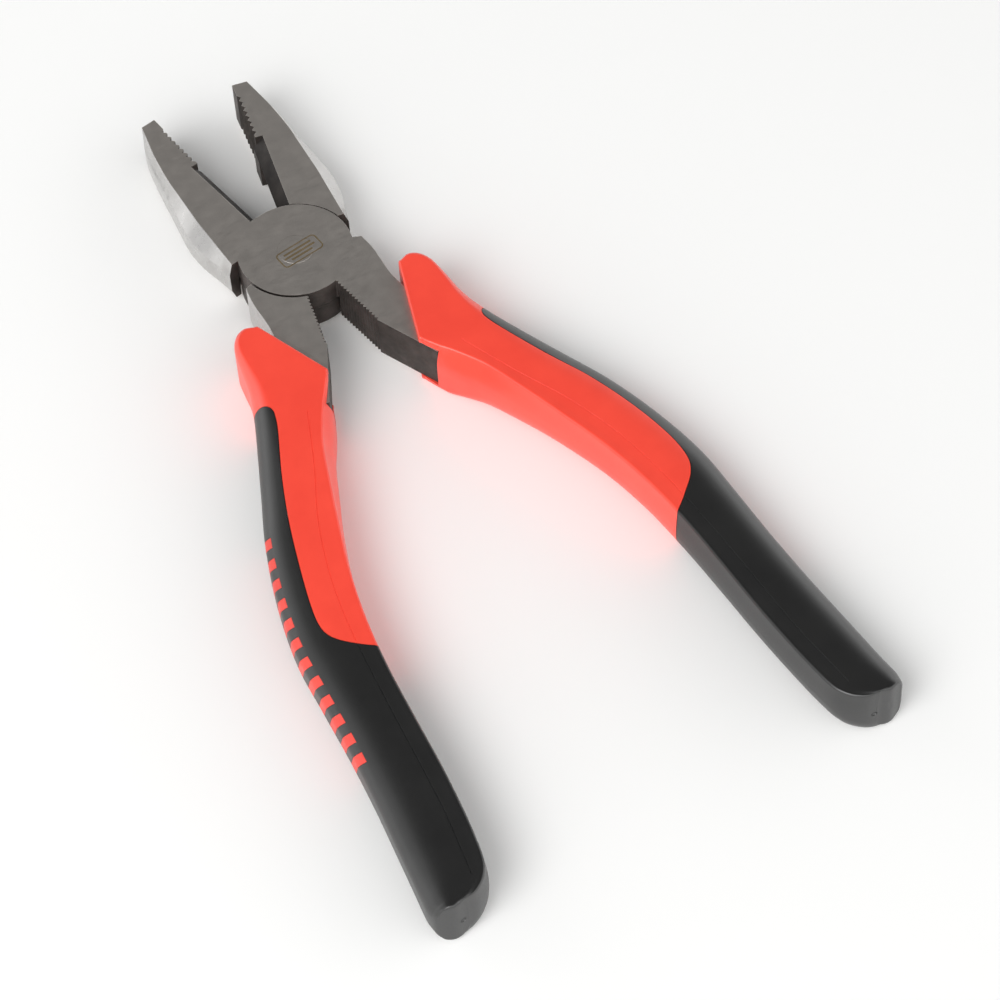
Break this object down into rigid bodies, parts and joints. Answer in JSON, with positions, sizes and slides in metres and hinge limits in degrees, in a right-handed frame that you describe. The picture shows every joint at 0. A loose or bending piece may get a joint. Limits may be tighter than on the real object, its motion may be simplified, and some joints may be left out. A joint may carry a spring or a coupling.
{
  "type": "lineman pliers",
  "caption": "Hinged lineman pliers with flat serrated jaws, side cutters, a riveted lap joint and cushioned red and black grips, for gripping, twisting and cutting wire.",
  "frame": {"origin": "on the pivot axis, at the underside of the head, where the rivet's head is flush", "axes": "+Y along the line of symmetry from the pivot to the jaw tips, +Z along the pivot axis up through the head, +X to the right with the handles towards the viewer"},
  "size_m": [0.1044, 0.2053, 0.0142],
  "materials": {
    "ground_steel": "ground flat faces, bright facets, dark forged inner sides",
    "rivet_steel": "ground flush",
    "red_sleeve": "satin moulded",
    "black_overmould": "matt moulded",
    "red_bars": "satin moulded"
  },
  "bodies": {
    "upper_half": {"upper_lever": "ground_steel", "pivot_rivet": "rivet_steel", "right_grip_sleeve": "red_sleeve", "right_grip_overmould": "black_overmould", "right_inlaid_bars": "red_bars"},
    "lower_half": {"lower_lever": "ground_steel", "left_grip_sleeve": "red_sleeve", "left_grip_overmould": "black_overmould", "left_inlaid_bars": "red_bars"}
  },
  "joints": [
    {"name": "pivot", "type": "hinge", "parent": "upper_half", "child": "lower_half", "pos_m": [0, 0, 0.0055], "axis": [0, 0, 1], "range_deg": [-27, 22.1]}
  ]
}
